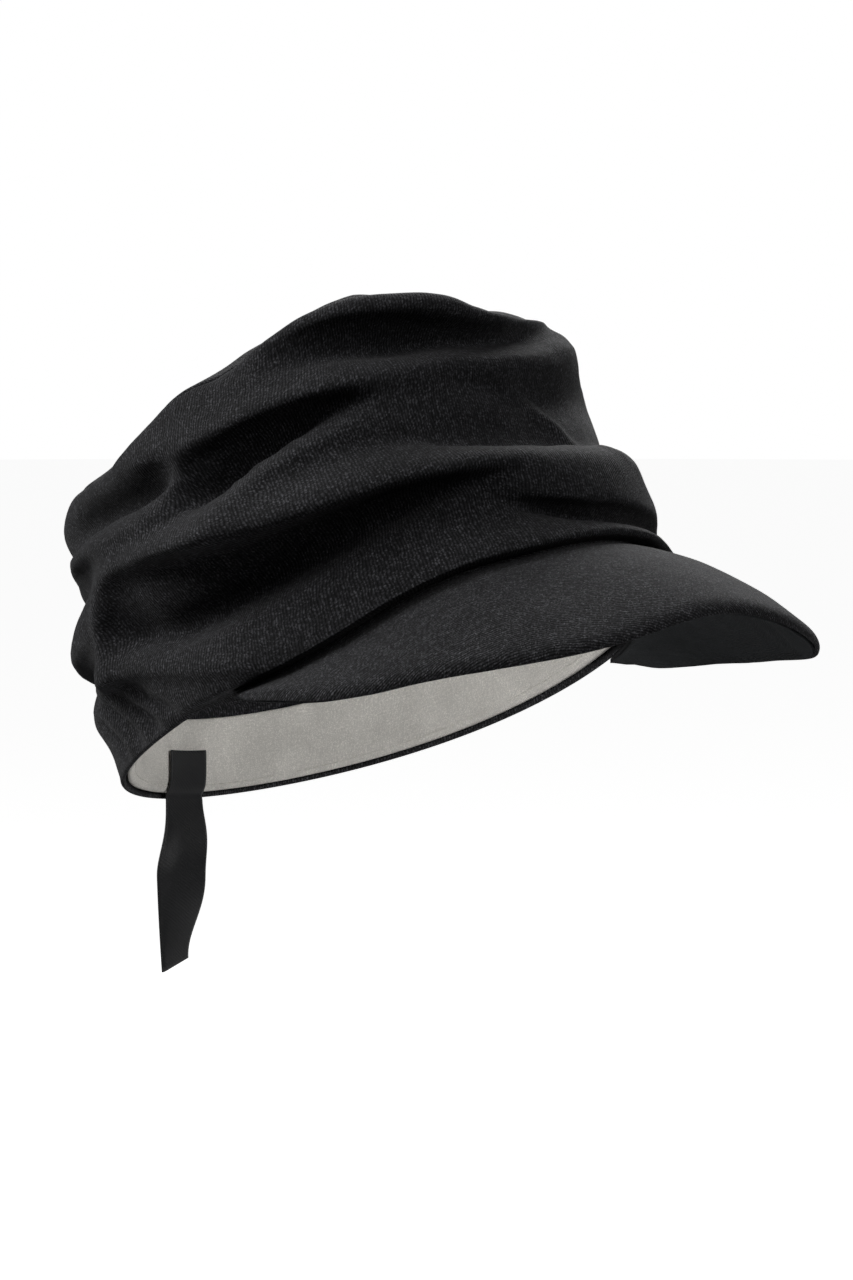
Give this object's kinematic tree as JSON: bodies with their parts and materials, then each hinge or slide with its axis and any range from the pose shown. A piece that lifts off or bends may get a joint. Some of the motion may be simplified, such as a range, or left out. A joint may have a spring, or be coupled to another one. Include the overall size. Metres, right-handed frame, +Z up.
{
  "type": "cadet cap",
  "caption": "Slouchy soft cadet cap with a gathered, folded crown, an arched peak, an inner band and a tape hanging out below the back rim.",
  "frame": {"origin": "middle of the tilted head opening, where the cap sits on a head", "axes": "-Y is the way the peak faces, +Z is up with the cap worn, -X is the wearer's right"},
  "size_m": [0.1848, 0.2634, 0.2213],
  "materials": {
    "crown_linen": "charcoal black slub linen, washed and matt",
    "peak_linen": "charcoal black slub linen over a soft stiffening",
    "band_cotton": "pale warm grey cotton, matt",
    "tape_twill": "smooth black twill tape, slight sheen"
  },
  "bodies": {
    "root": {"crown_side": "crown_linen", "crown_tip": "crown_linen", "visor_top": "peak_linen", "visor_under": "peak_linen", "sweatband": "band_cotton", "back_tape": "tape_twill"}
  },
  "joints": []
}
